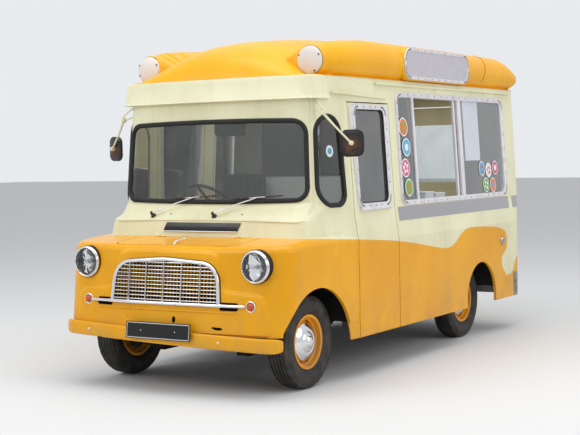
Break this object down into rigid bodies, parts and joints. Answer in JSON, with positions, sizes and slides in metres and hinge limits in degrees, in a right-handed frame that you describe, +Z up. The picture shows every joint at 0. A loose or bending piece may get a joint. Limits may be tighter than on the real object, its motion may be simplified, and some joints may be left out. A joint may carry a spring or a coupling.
{
  "type": "ice cream truck",
  "caption": "Small forward-control ice cream truck with a short nose, raised roof moulding, glazed serving hatch, hinged doors, steering and rolling wheels.",
  "frame": {"origin": "on the ground, at the middle of the overall box", "axes": "+X is the truck's left, -Y is its front, +Z is up"},
  "size_m": [2.163, 4.2656, 2.4297],
  "materials": {
    "yellow_paint": "gloss",
    "cream_paint": "gloss",
    "aluminium_trim": "satin",
    "clear_glass": "clear",
    "black_rubber": "matte",
    "bright_chrome": "polished",
    "lamp_glass": "fluted",
    "amber_lens": "gloss",
    "black_plate": "gloss",
    "red_lens": "gloss",
    "white_plastic": "gloss",
    "sign_paint": "satin",
    "polished_steel": "polished",
    "black_paint": "gloss",
    "frame_paint": "satin",
    "bare_casting": "rough",
    "exhaust_steel": "dull",
    "spring_steel": "dull",
    "floor_paint": "satin",
    "grey_paint": "satin",
    "white_enamel": "gloss",
    "black_leathercloth": "satin",
    "black_plastic": "gloss",
    "wheel_paint": "gloss",
    "tyre_rubber": "matte"
  },
  "bodies": {
    "vehicle": {"front_end": "yellow_paint", "cab_front": "cream_paint", "head_band": "cream_paint", "side_left": "cream_paint", "side_right": "cream_paint", "rear_panel": "cream_paint", "rear_step": "yellow_paint", "roof": "yellow_paint", "window_frames": "aluminium_trim", "body_glass": "clear_glass", "cab_glass": "clear_glass", "window_seals": "black_rubber", "headlamps": "bright_chrome", "headlamp_lenses": "lamp_glass", "indicators": "amber_lens", "grille": "aluminium_trim", "grille_surround": "aluminium_trim", "front_bumper": "yellow_paint", "number_plates": "black_plate", "tail_lamps": "red_lens", "roof_lamps": "white_plastic", "roof_signs": "sign_paint", "bright_trim": "polished_steel", "mirrors": "black_paint", "wipers": "polished_steel", "chassis_frame": "frame_paint", "front_suspension": "frame_paint", "engine": "bare_casting", "exhaust": "exhaust_steel", "fuel_tank": "frame_paint", "rear_axle": "frame_paint", "leaf_springs": "spring_steel", "floor": "floor_paint", "wheel_housings": "frame_paint", "bulkhead": "grey_paint", "freezer_cabinet": "white_enamel", "serving_counter": "white_enamel", "driver_seat": "black_leathercloth", "dashboard": "grey_paint", "steering_column": "black_paint"},
    "bonnet": {"bonnet": "yellow_paint"},
    "door_left": {"door_left": "cream_paint", "door_left_frame": "aluminium_trim", "door_left_glass": "clear_glass"},
    "door_right": {"door_right": "cream_paint", "door_right_frame": "aluminium_trim", "door_right_glass": "clear_glass"},
    "rear_door": {"rear_door": "cream_paint", "rear_door_glass": "clear_glass"},
    "steering_wheel": {"steering_wheel": "black_plastic"},
    "knuckle_left": {"knuckle_left": "bare_casting"},
    "knuckle_right": {"knuckle_right": "bare_casting"},
    "wheel_front_left": {"wheel_front_left": "wheel_paint", "tyre_front_left": "tyre_rubber"},
    "wheel_front_right": {"wheel_front_right": "wheel_paint", "tyre_front_right": "tyre_rubber"},
    "wheel_rear_left": {"wheel_rear_left": "wheel_paint", "tyre_rear_left": "tyre_rubber"},
    "wheel_rear_right": {"wheel_rear_right": "wheel_paint", "tyre_rear_right": "tyre_rubber"}
  },
  "joints": [
    {"name": "bonnet_hinge", "type": "hinge", "parent": "vehicle", "child": "bonnet", "pos_m": [0, -1.64, 1.001], "axis": [-1, 0, 0], "range_deg": [0, 60]},
    {"name": "door_left_hinge", "type": "hinge", "parent": "vehicle", "child": "door_left", "pos_m": [0.896, -1.012, 0.85], "axis": [0, 0, -1], "range_deg": [0, 65]},
    {"name": "door_right_hinge", "type": "hinge", "parent": "vehicle", "child": "door_right", "pos_m": [-0.896, -1.012, 0.85], "axis": [0, 0, 1], "range_deg": [0, 65]},
    {"name": "rear_door_hinge", "type": "hinge", "parent": "vehicle", "child": "rear_door", "pos_m": [-0.404, 2.091, 1.55], "axis": [0, 0, 1], "range_deg": [0, 100]},
    {"name": "steering_wheel_turn", "type": "hinge", "parent": "vehicle", "child": "steering_wheel", "pos_m": [-0.42, -0.92, 1.21], "axis": [0, 0.6428, 0.766], "range_deg": [-480, 480]},
    {"name": "steer_left", "type": "hinge", "parent": "vehicle", "child": "knuckle_left", "pos_m": [0.62, -1.507, 0.31], "axis": [0, 0, 1], "range_deg": [-32, 32]},
    {"name": "steer_right", "type": "hinge", "parent": "vehicle", "child": "knuckle_right", "pos_m": [-0.62, -1.507, 0.31], "axis": [0, 0, 1], "range_deg": [-32, 32]},
    {"name": "roll_front_left", "type": "hinge", "parent": "knuckle_left", "child": "wheel_front_left", "pos_m": [0.71, -1.507, 0.31], "axis": [1, 0, 0], "continuous": true},
    {"name": "roll_front_right", "type": "hinge", "parent": "knuckle_right", "child": "wheel_front_right", "pos_m": [-0.71, -1.507, 0.31], "axis": [1, 0, 0], "continuous": true},
    {"name": "roll_rear_left", "type": "hinge", "parent": "vehicle", "child": "wheel_rear_left", "pos_m": [0.66, 1.084, 0.31], "axis": [1, 0, 0], "continuous": true},
    {"name": "roll_rear_right", "type": "hinge", "parent": "vehicle", "child": "wheel_rear_right", "pos_m": [-0.66, 1.084, 0.31], "axis": [1, 0, 0], "continuous": true}
  ],
  "couplings": [
    {"joint": "steer_right", "follows": "steer_left", "ratio": 1},
    {"joint": "steering_wheel_turn", "follows": "steer_left", "ratio": 15}
  ]
}
